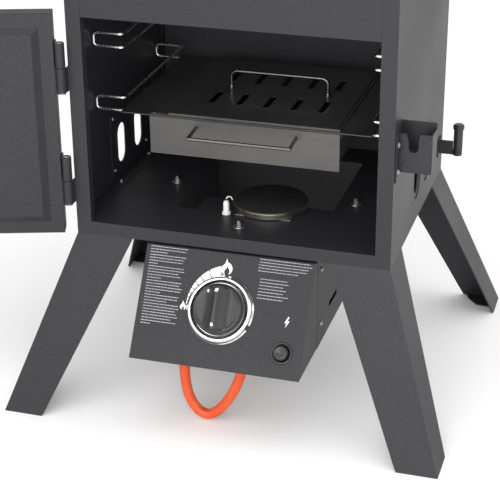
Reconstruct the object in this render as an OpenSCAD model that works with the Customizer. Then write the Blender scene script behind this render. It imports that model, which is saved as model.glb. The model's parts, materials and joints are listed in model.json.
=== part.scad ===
// Vertical two-door gas water smoker on four splayed sheet legs.
// Millimetres, +Z up, the front faces -Y, origin on the floor under the cabinet's centre.

/* [Cabinet] */
// Cabinet width across the side walls
body_w = 400; // [380:1:420]
// Cabinet depth, front face to rear wall
body_d = 332; // [325:1:345]
// Cabinet height from the base pan's lower edge to the top
body_h = 880; // [860:10:960]
// Thickness of the sheet steel
sheet = 1.2; // [1:0.1:1.6]
// Height of the base pan's skirt
pan_h = 17; // [16:1:18]
// Width of the front posts beside the openings
post_w = 19; // [18:0.5:21]
// Height of the lower opening's top edge
lower_top = 280; // [276:1:284]
// Height of the bar between the two openings
bar_h = 54; // [50:1:58]

/* [Legs] */
// Height of the legs, floor to base pan
leg_h = 228; // [215:1:235]
// Sideways splay of each foot
splay_x = 82; // [75:1:90]
// Front-to-back splay of each foot
splay_y = 80; // [75:1:85]
// Thickness of the leg sheet
leg_t = 2; // [1.5:0.5:2.5]

/* [Doors] */
// Angle at which both doors stand open
door_open = 162; // [150:1:165]
// Thickness of the double-walled doors
door_t = 22; // [20:1:22]
// Height of the lower door
lower_door_h = 282; // [278:1:284]
// Height of the upper door
upper_door_h = 542; // [520:1:545]
// Angle that the latch levers rise from locked to free
latch_lift = 22; // [20:1:24]

/* [Control console] */
// Width of the sloping control panel
panel_w = 216; // [210:1:220]
// Length of the panel down its slope
panel_l = 143; // [140:1:145]
// Slope of the panel from the horizontal, in degrees
panel_slope = 56.5; // [55:0.5:58]
// Diameter of the control knob
knob_d = 64; // [60:1:67]

/* [Burner and trays] */
// Diameter of the burner head
burner_d = 96; // [88:1:98]
// Width of the enamel carrier tray
tray_w = 320; // [316:1:321]
// Depth of the enamel carrier tray
tray_d = 236; // [230:1:240]
// Width of the chip box's front
box_w = 242; // [236:1:244]
// Height of the chip box's front
box_h = 48; // [44:1:50]
// Distance that the wire guides stand in from the walls
guide_reach = 44; // [43:1:46]

/* [Hose] */
// Outside diameter of the gas hose
hose_d = 13.3; // [12:0.1:14]

/* [Hidden] */
$fn = 48;

charcoal = [0.20, 0.20, 0.22];
enamel = [0.09, 0.09, 0.10];
steel = [0.75, 0.75, 0.75];
chrome = [0.86, 0.87, 0.88];

// Cabinet: doors, openings and levels, from the base pan's lower edge
upper_bottom = lower_top + bar_h;
bar_lip = 20;
side_edge = 12;
top_apron = 20;
door_gap = 2;
lower_door_z = 4;
upper_door_z = upper_bottom - 8;
hinge_r = 6.2;
pin_r = 3;
pin_play = 0.05;
hinge_x = -6.6;
hinge_y = -7;
knuckle_h = 30.6;
knuckle_gap = 0.8;
leaf_t = 2;
lower_hinges = [lower_door_z + 69, lower_door_z + 214];
upper_hinges = [upper_door_z + 90, upper_door_z + upper_door_h - 90];
latch_x = 338;
latch_reach = 80;
lower_latch_z = 150;
upper_latch_z = upper_door_z + upper_door_h / 2;
latch_pin_r = 4.5;
gauge_z = upper_door_z + 390;
gauge_d = 66;

// Floor opening and vents
opening = [107, 114, 195, 166];
notch = [107, 72, 26, 43];
vent_ys = [152, 213];
vent_z0 = 38;
vent_z1 = 92;
vent_w = 27;
vent_rim = 14;
vent_plate = [118, 28, 133, 84];
floor_screws = [129, 234];

// Legs: width of each face at its top and its foot
face_top = 73;
face_foot = 51;
side_top = 66;
side_foot = 50;
toe_cut = 10;

// Console, under the base pan
console_x = (body_w - panel_w) / 2 + 2;
panel_top = [-2.5, -2.4];
panel_bot = [panel_top[0] - panel_l * cos(panel_slope), panel_top[1] - panel_l * sin(panel_slope)];
cheek_y = 3.5;
console_back = 281;
console_h = 123;
stud_flange = 26;
studs = [[console_x - 14, 151], [201, 35], [console_x + panel_w + 14, 142]];
knob_at = [106, 73];
button_at = [190, 31];
bezel_d = 86;
valve_block = [44, 26, 22];
valve_at = [186, -35, -88];
jet_x = 221;
jet_z = -77;

// Burner
burner_at = [221, 108];
burner_z = 18.5;
ring_h = 7.2;
cap_h = 1.6;
tube_r = 11;
elbow_r = 26;

// Guides and trays, heights of the lower wire of each level
wire_r = 2;
guide_y = [74, 293];
wire_rise = 17;
lower_level = 140;
spare_level = 222;
upper_levels = [410, 520, 630, 740];
tray_t = 1.5;
tray_y = 60;
tray_x = (body_w - tray_w) / 2;
tray_z = lower_level + wire_r + 0.3;
hole_w = 232;
hole_d = 216;
hole_y = 68;
rail_z = tray_z - 6.3;
lid_z = tray_z + tray_t + 0.2;
lid_w = 242;
lid_d = 228;
lid_y = 62;
slot_x = 140;
slot_pitch = 35.5;
slot_ys = [140, 223];
handle_x = [148, 276];
handle_y = 180;
box_y = 62;
rack_w = 318;
rack_d = 236;
rack_y = 62;

// Hose: route of its centre line in the part's own frame, from the fitting to the regulator
hose_route = [[22, -196, 110], [22, -196, 92], [21.8, -196, 75], [18, -196, 62], [12.5, -196, 49],
    [5.5, -196, 36], [-3, -196, 24], [-12, -196, 14.5], [-22, -196, 9.6], [-32, -196, 12],
    [-40, -196, 20], [-46.5, -196, 32], [-50, -196, 46], [-51.6, -196, 59], [-52, -196, 74], [-52, -195, 96], [-52, -187, 120], [-52, -170, 138], [-52, -146, 147],
    [-52, -116, 149], [-51, -80, 145], [-50, -40, 134], [-48, 2, 117], [-45, 44, 97],
    [-42, 84, 73], [-40, 118, 48], [-41, 148, 26], [-47, 174, 12], [-58, 198, 7.2],
    [-73, 213, 7.2], [-88, 219, 7.2], [-102, 219, 7.2]];
regulator_at = [-138.3, 219];

module cab() {
    translate([-body_w / 2, -body_d / 2, leg_h]) children();
}

module box(x, y, z) {
    translate([x[0], y[0], z[0]]) cube([x[1] - x[0], y[1] - y[0], z[1] - z[0]]);
}

module rod(a, b, r) {
    d = b - a;
    len = norm(d);
    translate(a) rotate([0, acos(d[2] / len), atan2(d[1], d[0])]) cylinder(r = r, h = len);
}

module ball(p, r) {
    translate(p) sphere(r = r, $fn = 24);
}

// A wire bent along points, with round joints a little fuller than the wire
module wire(points, r, closed = false) {
    n = len(points);
    for (i = [0 : closed ? n - 1 : n - 2]) rod(points[i], points[(i + 1) % n], r);
    for (i = [closed ? 0 : 1 : closed ? n - 1 : n - 2]) ball(points[i], r + 0.04);
}

module round_slot(w, l, t) {
    linear_extrude(t) {
        translate([-w / 2, -l / 2 + w / 2]) square([w, l - w]);
        translate([0, -l / 2 + w / 2]) circle(d = w);
        translate([0, l / 2 - w / 2]) circle(d = w);
    }
}

module rounded_plate(w, d, r, t) {
    linear_extrude(t) {
        translate([r, 0]) square([w - 2 * r, d]);
        translate([0, r]) square([w, d - 2 * r]);
        for (x = [r, w - r], y = [r, d - r]) translate([x, y]) circle(r = r);
    }
}

// Carries its children from a door's closed place to its open place
module swung() {
    translate([hinge_x, hinge_y, 0]) rotate([0, 0, -door_open]) translate([-hinge_x, -hinge_y, 0])
        children();
}

// ---- Cabinet ----

module base_pan() {
    color(charcoal) cab() difference() {
        union() {
            difference() {
                box([0, body_w], [0, body_d], [0, pan_h]);
                box([sheet, body_w - sheet], [sheet, body_d - sheet], [-1, pan_h - sheet]);
            }
            box([sheet, 28], [sheet, body_d - sheet], [0, sheet]);
            box([body_w - 28, body_w - sheet], [sheet, body_d - sheet], [0, sheet]);
        }
        box([opening[0], opening[0] + opening[2]], [opening[1], opening[1] + opening[3]], [10, 20]);
        box([notch[0], notch[0] + notch[2]], [notch[1], notch[1] + notch[3]], [10, 20]);
        translate([burner_at[0], burner_at[1], 10]) cylinder(r = tube_r + 4, h = 20);
        for (s = studs) translate([s[0], s[1], 10]) cylinder(r = 3.2, h = 20);
        for (y = floor_screws, x = [9, body_w - 9]) translate([x, y, 10]) cylinder(r = 2.2, h = 20);
        leg_bolt_places() translate([0, 0, -1]) cylinder(r = 3.3, h = 4);
    }
}

module leg_bolt_places() {
    for (x = [16, body_w - 16], y = [26, 52, body_d - 52, body_d - 26])
        translate([x, y, 0]) children();
}

module vent_holes(x0, x1, grow) {
    for (y = vent_ys) translate([x0, y, (vent_z0 + vent_z1) / 2]) rotate([90, 0, 90])
        round_slot(vent_w + grow, vent_z1 - vent_z0 + grow, x1 - x0);
}

module vent_screw_places() {
    for (y = [vent_plate[0] + 8, vent_plate[0] + vent_plate[2] - 8])
        for (z = [vent_plate[1] + 6, vent_plate[1] + vent_plate[3] - 6])
            translate([0, y, z]) children();
}

module left_wall() {
    color(charcoal) cab() difference() {
        union() {
            box([0, sheet], [0, body_d], [pan_h, body_h - sheet]);
            box([0, post_w], [0, sheet], [pan_h, body_h - sheet]);
            box([post_w - sheet, post_w], [0, side_edge], [pan_h, body_h - sheet]);
            box([0, 18], [side_edge + 2, body_d - 16], [pan_h, pan_h + sheet]);
        }
        vent_holes(-1, sheet + 1, vent_rim);
        for (y = floor_screws) translate([9, y, 10]) cylinder(r = 2.2, h = 20);
        vent_screw_places() rotate([0, 90, 0]) translate([0, 0, -1]) cylinder(r = 1.7, h = 4);
    }
}

module right_wall() {
    mirror([1, 0, 0]) left_wall();
}

module rear_wall() {
    color(charcoal) cab() {
        box([sheet, body_w - sheet], [body_d - sheet, body_d], [pan_h, body_h - sheet]);
        for (x = [sheet, body_w - 2 * sheet])
            box([x, x + sheet], [body_d - 14, body_d], [pan_h, body_h - sheet]);
    }
}

module divider_bar() {
    color(charcoal) cab() {
        box([post_w, body_w - post_w], [0, sheet], [lower_top, upper_bottom]);
        box([post_w, body_w - post_w], [0, bar_lip], [lower_top, lower_top + sheet]);
        box([post_w, body_w - post_w], [0, bar_lip], [upper_bottom - sheet, upper_bottom]);
    }
}

damper_at = [200, 190];
damper_holes = 6;
module damper_ring(r) {
    for (i = [0 : damper_holes - 1]) rotate([0, 0, i * 60]) translate([30, 0, -10]) cylinder(r = r, h = 20);
}

module top_panel() {
    color(charcoal) cab() difference() {
        union() {
            box([0, body_w], [0, body_d], [body_h - sheet, body_h]);
            box([post_w, body_w - post_w], [0, sheet], [body_h - top_apron, body_h]);
            box([post_w, body_w - post_w], [0, bar_lip], [body_h - top_apron, body_h - top_apron + sheet]);
        }
        translate([damper_at[0], damper_at[1], body_h]) {
            damper_ring(9);
            translate([0, 0, -10]) cylinder(r = pin_r + pin_play, h = 20);
        }
    }
}

module top_damper() {
    color(charcoal) cab() translate([damper_at[0], damper_at[1], body_h]) {
        difference() {
            translate([0, 0, 0.4]) cylinder(r = 48, h = 1.6);
            damper_ring(9);
        }
        translate([0, 0, -3.5]) cylinder(r = pin_r, h = 5);
        translate([0, 0, -3.5]) cylinder(r = 6, h = 2);
        rotate([0, 0, -90]) translate([38, 0, 1.5]) {
            cylinder(r = 4, h = 7);
            translate([0, 0, 6.5]) cylinder(r1 = 8, r2 = 7, h = 9);
        }
    }
}

// ---- Legs ----

// One leg, with its fold at the cabinet's front left corner
module leg() {
    front_len = norm([leg_h, splay_y]);
    side_len = norm([leg_h, splay_x]);
    front_tilt = atan(splay_y / leg_h);
    side_tilt = atan(splay_x / leg_h);
    cut = toe_cut * front_len / leg_h;
    difference() {
        union() {
            // front face, in the plane through the fold and the X axis
            rotate([-front_tilt, 0, 0]) rotate([90, 0, 0]) translate([0, 0, -leg_t]) linear_extrude(leg_t)
                polygon([[0, 0], [face_top, 0], [face_foot - splay_x + 5, cut - front_len],
                    [face_foot - splay_x, -front_len], [-splay_x, -front_len]]);
            // side face, in the plane through the fold and the Y axis
            rotate([0, side_tilt, 0]) rotate([90, 0, 90]) linear_extrude(leg_t)
                polygon([[0, 0], [side_top, 0], [side_foot - splay_y, -side_len], [-splay_y, -side_len]]);
            // tab that takes the bolts, and the foot's turned-in flange
            box([2, 44], [2, 66], [-leg_t, 0]);
            translate([-splay_x + 1.5, -splay_y + 1.5, -leg_h]) linear_extrude(leg_t)
                polygon([[0, 0], [46, 0], [40, 14], [26, 30], [0, 32]]);
        }
        translate([-200, -200, -leg_h - 10]) cube([400, 400, 10]);
        translate([-200, -200, 0]) cube([400, 400, 10]);
        for (y = [26, 52]) translate([16, y, -5]) cylinder(r = 3.3, h = 10);
    }
}

module placed_leg(right, rear) {
    translate([(right - 0.5) * body_w, (rear - 0.5) * body_d, leg_h])
        mirror([right, 0, 0]) mirror([0, rear, 0]) leg();
}

module leg_front_left() {
    color(charcoal) placed_leg(0, 0);
}

module leg_front_right() {
    color(charcoal) placed_leg(1, 0);
}

module leg_rear_left() {
    color(charcoal) placed_leg(0, 1);
}

module leg_rear_right() {
    color(charcoal) placed_leg(1, 1);
}

module leg_bolts() {
    color(steel) cab() leg_bolt_places() {
        translate([0, 0, -leg_t]) cylinder(r = 3, h = leg_t + 8);
        translate([0, 0, -leg_t - 4]) cylinder(r = 5.8, h = 4);
        translate([0, 0, sheet]) cylinder(r = 5.5, h = 5, $fn = 6);
    }
}

// ---- Fasteners and vents ----

module floor_studs() {
    color(steel) cab() for (s = studs) translate([s[0], s[1], 0]) {
        translate([0, 0, pan_h]) cylinder(r = 7, h = 1.5);
        translate([0, 0, pan_h]) cylinder(r = 4.6, h = 6, $fn = 6);
        translate([0, 0, pan_h - 12]) cylinder(r = 2.8, h = 21);
        translate([0, 0, pan_h - 2 * sheet - 4]) cylinder(r = 5, h = 4, $fn = 6);
    }
}

module case_screw() {
    cylinder(r = 3.6, h = 2);
    translate([0, 0, -3]) cylinder(r = 1.5, h = 4);
}

module keeper_screws(z) {
    for (dz = [-28, 5]) translate([body_w + leaf_t, 13, z + dz]) rotate([0, 90, 0]) {
        cylinder(r = 3.6, h = 2);
        translate([0, 0, -leaf_t]) cylinder(r = 1.5, h = leaf_t + 1);
    }
}

module case_screws() {
    color(steel) cab() {
        for (x = [9, body_w - 9], y = floor_screws) translate([x, y, pan_h + sheet]) case_screw();
        vent_screw_places() translate([2 * sheet, 0, 0]) rotate([0, 90, 0]) case_screw();
        vent_screw_places() translate([body_w - 2 * sheet, 0, 0]) rotate([0, -90, 0]) case_screw();
        keeper_screws(lower_latch_z);
        keeper_screws(upper_latch_z);
        for (z = [-22, -96]) {
            translate([console_x, 24, z]) rotate([0, -90, 0]) case_screw();
            translate([console_x + panel_w, 24, z]) rotate([0, 90, 0]) case_screw();
        }
    }
}

module one_vent_plate() {
    difference() {
        union() {
            box([sheet, 2 * sheet], [vent_plate[0], vent_plate[0] + vent_plate[2]],
                [vent_plate[1], vent_plate[1] + vent_plate[3]]);
            vent_holes(2 * sheet - 0.5, 2 * sheet + 0.6, vent_rim);
        }
        vent_holes(0, 10, 0);
        vent_screw_places() rotate([0, 90, 0]) cylinder(r = 1.7, h = 4);
    }
}

module vent_plates() {
    color(charcoal) {
        cab() one_vent_plate();
        mirror([1, 0, 0]) cab() one_vent_plate();
    }
}

// ---- Wire guides ----

// A closed wire loop on the left wall: an upper and a lower U joined at both ends, held by two short studs
module wire_guide(z) {
    x0 = sheet + wire_r + 0.3;
    x1 = guide_reach - wire_r;
    low = [for (p = [[x0, guide_y[0]], [x1, guide_y[0]], [x1, guide_y[1]], [x0, guide_y[1]]]) [p[0], p[1], z]];
    up = [for (p = low) [p[0], p[1], z + wire_rise]];
    wire(concat(up, [for (i = [3 : -1 : 0]) low[i]]), wire_r, true);
    for (y = guide_y) rod([sheet, y, z + wire_rise / 2], [x0, y, z + wire_rise / 2], 1.6);
}

module guide_pair(z) {
    cab() wire_guide(z);
    mirror([1, 0, 0]) cab() wire_guide(z);
}

module lower_wire_guides() {
    color(chrome) {
        guide_pair(lower_level);
        guide_pair(spare_level);
    }
}

module upper_wire_guides() {
    color(chrome) for (z = upper_levels) guide_pair(z);
}

// ---- Keepers and side hook ----

module keeper(z) {
    x1 = body_w + 40;
    difference() {
        union() {
            box([body_w, body_w + leaf_t], [6, 22], [z - 40, z + 17]);
            box([body_w, x1], [20, 22], [z - 31, z + 17]);
            box([x1 - 2, x1], [20, 50], [z - 31, z + 17]);
            box([body_w, x1], [48, 50], [z - 31, z + 23]);
        }
        translate([body_w, 23, z]) rotate([90, 0, 0]) linear_extrude(4)
            polygon([[12.2, 0], [23.8, 0], [23.8, 10], [26, 18], [9, 18], [12.2, 7]]);
        translate([body_w + 18, 23, z]) rotate([90, 0, 0]) cylinder(r = 5.8, h = 4);
        for (dz = [-28, 5]) translate([body_w - 1, 13, z + dz]) rotate([0, 90, 0]) cylinder(r = 1.7, h = 5);
    }
}

module lower_keeper() {
    color(charcoal) cab() keeper(lower_latch_z);
}

module upper_keeper() {
    color(charcoal) cab() keeper(upper_latch_z);
}

hook_y = 304;
module side_hook() {
    color(charcoal) cab() {
        box([body_w, body_w + 2], [hook_y - 12, hook_y + 12], [32, 55]);
        box([body_w, body_w + 19.4], [hook_y - 1.5, hook_y + 1.5], [34, 53]);
        translate([body_w + 26, hook_y, 34]) cylinder(r = 6, h = 8);
        box([body_w + 18, body_w + 26], [hook_y - 1.5, hook_y + 1.5], [34, 42]);
    }
}

module hook_peg() {
    color(enamel) cab() translate([body_w + 26, hook_y, 42]) {
        cylinder(r = 6.2, h = 29);
        translate([0, 0, 29]) cylinder(r = 7.5, h = 5);
        translate([0, 0, 34]) cylinder(r1 = 7.5, r2 = 5.5, h = 2);
    }
}

// ---- Hinges ----

module knuckle(z) {
    difference() {
        translate([hinge_x, hinge_y, z]) cylinder(r = hinge_r, h = knuckle_h);
        translate([hinge_x, hinge_y, z - 1]) cylinder(r = pin_r + pin_play, h = knuckle_h + 2);
    }
}

// The fixed leaf has the lower knuckle
module fixed_leaf(z) {
    knuckle(z - knuckle_gap / 2 - knuckle_h);
    difference() {
        union() {
            box([-leaf_t, -0.4], [hinge_y, 0], [z - knuckle_gap / 2 - knuckle_h, z - knuckle_gap / 2]);
            box([-leaf_t, 0], [0, 20], [z - knuckle_gap / 2 - knuckle_h, z - knuckle_gap / 2]);
        }
        translate([hinge_x, hinge_y, z - 50]) cylinder(r = pin_r + pin_play, h = 100);
    }
}

module swinging_leaf(z) {
    knuckle(z + knuckle_gap / 2);
    box([-leaf_t, 0], [-door_gap - door_t + 2, hinge_y], [z + knuckle_gap / 2, z + knuckle_gap / 2 + knuckle_h]);
}

module cabinet_hinge_leaves() {
    color(charcoal) cab() for (z = concat(lower_hinges, upper_hinges)) fixed_leaf(z);
}

module hinge_pins() {
    color(steel) cab() for (z = concat(lower_hinges, upper_hinges)) {
        translate([hinge_x, hinge_y, z - knuckle_h]) cylinder(r = pin_r, h = 2 * knuckle_h);
        translate([hinge_x, hinge_y, z - knuckle_h - knuckle_gap / 2 - 2]) cylinder(r = 5, h = 2);
        translate([hinge_x, hinge_y, z - knuckle_h - 2]) cylinder(r = pin_r, h = 4);
    }
}

module lower_door_hinges() {
    color(charcoal) cab() swung() for (z = lower_hinges) swinging_leaf(z);
}

module upper_door_hinges() {
    color(charcoal) cab() swung() for (z = upper_hinges) swinging_leaf(z);
}

// ---- Doors, drawn closed and then swung open ----

module door_shell(z, h) {
    difference() {
        box([0, body_w], [-door_gap - door_t, -door_gap - sheet], [z, z + h]);
        box([sheet, body_w - sheet], [sheet - door_gap - door_t, 0], [z + sheet, z + h - sheet]);
    }
}

// Pressed inner panel: flat rim, bevelled edge and raised field
module door_liner(z, h) {
    rim = 16;
    field = 25;
    y0 = -door_gap - sheet;
    y1 = -door_gap + 6;
    difference() {
        union() {
            box([0, body_w], [y0, -door_gap], [z, z + h]);
            hull() {
                box([rim, body_w - rim], [y0, -door_gap], [z + rim, z + h - rim]);
                box([field, body_w - field], [y1 - 0.2, y1], [z + field, z + h - field]);
            }
        }
        hull() {
            box([rim + 1, body_w - rim - 1], [y0 - 1, -door_gap - sheet], [z + rim + 1, z + h - rim - 1]);
            box([field + 1, body_w - field - 1], [y1 - sheet - 0.2, y1 - sheet], [z + field + 1, z + h - field - 1]);
        }
    }
}

module lower_door_shell() {
    color(charcoal) cab() swung() door_shell(lower_door_z, lower_door_h);
}

module lower_door_liner() {
    color(charcoal) cab() swung() door_liner(lower_door_z, lower_door_h);
}

module upper_door_shell() {
    color(charcoal) cab() swung() difference() {
        door_shell(upper_door_z, upper_door_h);
        translate([body_w / 2, 0, gauge_z]) rotate([90, 0, 0]) cylinder(r = 4.2, h = 60);
    }
}

module upper_door_liner() {
    color(charcoal) cab() swung() difference() {
        door_liner(upper_door_z, upper_door_h);
        translate([body_w / 2, 10, gauge_z]) rotate([90, 0, 0]) cylinder(r = 4.2, h = 60);
    }
}

latch_y = -door_gap - door_t;
module latch_mount(z) {
    translate([latch_x, latch_y, z]) rotate([90, 0, 0]) {
        translate([-18, -18, 0]) rounded_plate(36, 36, 5, 2);
        cylinder(r = 9, h = 5);
        cylinder(r = 4, h = 11.5);
        translate([0, 0, 11.5]) cylinder(r = 8, h = 3);
    }
}

// Lever drawn locked, then lifted about its pivot
module latch_lever(z) {
    translate([latch_x, latch_y, z]) rotate([0, -latch_lift, 0]) {
        difference() {
            union() {
                rotate([90, 0, 0]) translate([0, 0, 6]) cylinder(r = 12, h = 4.5);
                box([0, latch_reach], [-10.5, -6], [-8, 8]);
                rotate([90, 0, 0]) translate([latch_reach, 0, 6]) cylinder(r = 10, h = 4.5);
            }
            rotate([90, 0, 0]) cylinder(r = 4.06, h = 30);
        }
        translate([latch_reach, 54, 0]) rotate([90, 0, 0]) cylinder(r = latch_pin_r, h = 62);
        translate([latch_reach, 55, 0]) rotate([90, 0, 0]) cylinder(r = 7.5, h = 4);
        translate([latch_reach, -10, 0]) rotate([90, 0, 0]) cylinder(r = 5, h = 8);
        translate([latch_reach, -16, 0]) rotate([90, 0, 0]) cylinder(r1 = 9, r2 = 12, h = 12);
        translate([latch_reach, -28, 0]) rotate([90, 0, 0]) cylinder(r = 12, h = 28);
        translate([latch_reach, -56, 0]) rotate([90, 0, 0]) cylinder(r1 = 12, r2 = 8, h = 4);
    }
}

module lower_latch_mount() {
    color(charcoal) cab() swung() latch_mount(lower_latch_z);
}

module lower_latch_lever() {
    color(enamel) cab() swung() latch_lever(lower_latch_z);
}

module upper_latch_mount() {
    color(charcoal) cab() swung() latch_mount(upper_latch_z);
}

module upper_latch_lever() {
    color(enamel) cab() swung() latch_lever(upper_latch_z);
}

module on_gauge() {
    cab() swung() translate([body_w / 2, latch_y, gauge_z]) rotate([90, 0, 0]) children();
}

module thermometer_case() {
    color(steel) on_gauge() {
        difference() {
            cylinder(d = gauge_d, h = 12);
            translate([0, 0, 3]) cylinder(d = gauge_d - 5, h = 12);
        }
        translate([0, 0, -door_t - 60]) cylinder(r = 3, h = door_t + 61);
    }
}

module thermometer_dial() {
    color("white") on_gauge() {
        translate([0, 0, 3]) cylinder(d = gauge_d - 5.4, h = 1);
        translate([0, 0, 4]) cylinder(r = 2.5, h = 3);
        translate([-1, -6, 5]) cube([2, 28, 1]);
    }
}

module thermometer_lens() {
    color([0.8, 0.9, 0.9, 0.4]) on_gauge() translate([0, 0, 9]) cylinder(d = gauge_d - 5.4, h = 2);
}

// ---- Console under the base pan ----

module on_panel(p) {
    cab() translate([console_x, panel_bot[0], panel_bot[1]]) rotate([panel_slope, 0, 0])
        translate([p[0], p[1], 0]) children();
}

module console_box() {
    z0 = -console_h;
    z1 = pan_h - sheet;
    y0 = cheek_y + 1.5;
    x0 = console_x;
    x1 = console_x + panel_w;
    baffle_y = [60, 240];
    color(charcoal) cab() difference() {
        union() {
            box([x0, x0 + sheet], [y0, console_back], [z0, z1]);
            box([x1 - sheet, x1], [y0, console_back], [z0, z1]);
            box([x0, x1], [console_back - sheet, console_back], [z0, z1]);
            box([x0, x0 + 14], [y0, console_back], [z0, z0 + sheet]);
            box([x1 - 14, x1], [y0, console_back], [z0, z0 + sheet]);
            box([x0 - stud_flange, x0], [60, 240], [z1 - sheet, z1]);
            box([x1, x1 + stud_flange], [60, 240], [z1 - sheet, z1]);
            box([x0, x1], [20, 60], [z1 - sheet, z1]);
            for (x = [x0 + sheet, x1 - 5]) box([x, x + 5 - sheet], baffle_y, [-100, -100 + sheet]);
            for (x = [x0 + 5 - sheet, x1 - 5]) box([x, x + sheet], baffle_y, [-100, -81]);
        }
        for (s = studs) translate([s[0], s[1], 0]) cylinder(r = 3.2, h = 30);
        for (y = [65, 130, 195], x = [x0, x1 - sheet]) box([x - 1, x + sheet + 1], [y, y + 40], [-94, -87]);
        for (z = [-22, -96]) translate([x0 - 5, 24, z]) rotate([0, 90, 0]) cylinder(r = 1.7, h = panel_w + 10);
        translate([x0 - 1, clip_y, clip_z]) rotate([0, 90, 0]) cylinder(r = 2.2, h = 4);
    }
}

module cheek(x) {
    translate([x, 0, 0]) rotate([90, 0, 90]) linear_extrude(sheet)
        polygon([[panel_top[0] + 1.5, panel_top[1]], [cheek_y, panel_top[1]], [cheek_y, panel_bot[1]],
            [panel_bot[0] + 0.4, panel_bot[1]], [panel_bot[0] + 0.6, panel_bot[1] + 1]]);
}

module console_panel() {
    in0 = console_x + sheet + 0.1;
    in1 = console_x + panel_w - sheet - 0.1;
    color(charcoal) difference() {
        union() {
            cab() {
                cheek(console_x);
                cheek(console_x + panel_w - sheet);
                for (x = [in0, in1 - sheet]) box([x, x + sheet], [cheek_y - 6, 36], [-112, -8]);
                for (x = [in0 - 0.2, in1 - sheet]) box([x, x + sheet + 0.2], [cheek_y - 6, cheek_y], [-112, -8]);
                box([console_x, console_x + panel_w], [panel_bot[0] + 1, panel_bot[0] + 16],
                    [panel_bot[1], panel_bot[1] + sheet]);
                box([in0, in1], [panel_top[0] + 0.5, 18], [panel_top[1] - sheet, panel_top[1]]);
            }
            on_panel([0, 0]) translate([0, 0, -1.5]) cube([panel_w, panel_l, 1.5]);
        }
        on_panel(knob_at) translate([0, 0, -5]) cylinder(r = 7, h = 10);
        on_panel(button_at) translate([0, 0, -5]) cylinder(r = 11.4, h = 10);
        cab() for (z = [-22, -96]) translate([console_x - 5, 24, z]) rotate([0, 90, 0])
            cylinder(r = 1.7, h = panel_w + 10);
    }
}

module knob_bezel() {
    color(chrome) on_panel(knob_at) difference() {
        cylinder(d1 = bezel_d, d2 = bezel_d - 8, h = 7);
        translate([0, 0, 3]) cylinder(d1 = knob_d + 3, d2 = knob_d + 5, h = 5);
        translate([0, 0, -1]) cylinder(r = 7, h = 10);
    }
}

module control_knob() {
    color(enamel) on_panel(knob_at) {
        translate([0, 0, 3.6]) cylinder(d1 = knob_d, d2 = knob_d - 4, h = 12);
        translate([0, 0, 15.6]) cylinder(d1 = knob_d - 4, d2 = knob_d - 10, h = 2);
        translate([-6.5, 4 - knob_d / 2, 15]) cube([13, knob_d - 8, 13]);
        translate([0, 0, -5]) cylinder(r = 4, h = 9);
    }
}

module gas_valve() {
    color([0.72, 0.66, 0.48]) {
        on_panel(knob_at) difference() {
            translate([0, 0, -20]) cylinder(r = 12, h = 18);
            translate([0, 0, -6]) cylinder(r = 4.06, h = 5);
        }
        cab() {
            translate(valve_at) cube(valve_block);
            translate([jet_x, valve_at[1] + valve_block[1] - 1, jet_z]) rotate([-90, 0, 0]) cylinder(r = 6, h = 20);
            translate([222, -30, valve_at[2] - 8]) cylinder(r = 7, h = 9);
        }
    }
}

module igniter_body() {
    color(enamel) on_panel(button_at) {
        difference() {
            union() {
                translate([0, 0, -34]) cylinder(r = 11, h = 35);
                cylinder(r = 13.4, h = 2);
            }
            translate([0, 0, -8]) cylinder(r = 9.6, h = 12);
        }
    }
}

module igniter_button() {
    color(enamel) on_panel(button_at) {
        translate([0, 0, -2]) cylinder(r = 9.2, h = 9);
        translate([0, 0, 7]) cylinder(r1 = 9.2, r2 = 7, h = 2);
    }
}

// ---- Burner ----

module burner_tube() {
    bell_y = valve_at[1] + valve_block[1] + 14;
    color(steel) cab() {
        difference() {
            union() {
                translate([jet_x, bell_y, jet_z]) rotate([-90, 0, 0]) cylinder(r1 = 17, r2 = tube_r, h = 22);
                translate([jet_x, bell_y + 20, jet_z]) rotate([-90, 0, 0])
                    cylinder(r = tube_r, h = burner_at[1] - elbow_r - bell_y - 20);
            }
            translate([jet_x, bell_y - 1, jet_z]) rotate([-90, 0, 0]) cylinder(r1 = 15.6, r2 = 9.6, h = 24);
            translate([jet_x, bell_y - 1, jet_z]) rotate([-90, 0, 0])
                cylinder(r = 9.6, h = burner_at[1] - elbow_r - bell_y);
        }
        translate([jet_x, burner_at[1] - elbow_r, jet_z + elbow_r]) rotate([90, 0, 90]) rotate([0, 0, -90])
            rotate_extrude(angle = 90) translate([elbow_r, 0]) circle(r = tube_r);
        translate([burner_at[0], burner_at[1], jet_z + elbow_r]) cylinder(r = tube_r, h = burner_z - jet_z - elbow_r);
    }
}

module burner_bracket() {
    color(steel) cab() difference() {
        union() {
            box([186, 258], [68, 112], [pan_h, pan_h + sheet]);
            box([242, 258], [112, 128], [pan_h, pan_h + sheet]);
        }
        translate([burner_at[0], burner_at[1], 0]) cylinder(r = tube_r + 0.4, h = 30);
    }
}

module burner_base() {
    ports = 40;
    r = burner_d / 2 - 0.5;
    color(steel) cab() translate([burner_at[0], burner_at[1], burner_z]) difference() {
        cylinder(r = r, h = ring_h);
        translate([0, 0, 1.5]) cylinder(r = r - 2, h = ring_h);
        for (i = [0 : ports - 1]) rotate([0, 0, i * 360 / ports]) translate([r - 4, 0, ring_h * 0.55])
            rotate([0, 90, 0]) cylinder(r = 1.1, h = 8, $fn = 16);
    }
}

module burner_cap() {
    color(enamel) cab() translate([burner_at[0], burner_at[1], burner_z + ring_h]) {
        cylinder(d = burner_d - 2, h = cap_h * 0.6);
        translate([0, 0, cap_h * 0.6]) cylinder(d1 = burner_d - 2, d2 = burner_d - 5, h = cap_h * 0.4);
    }
}

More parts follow.
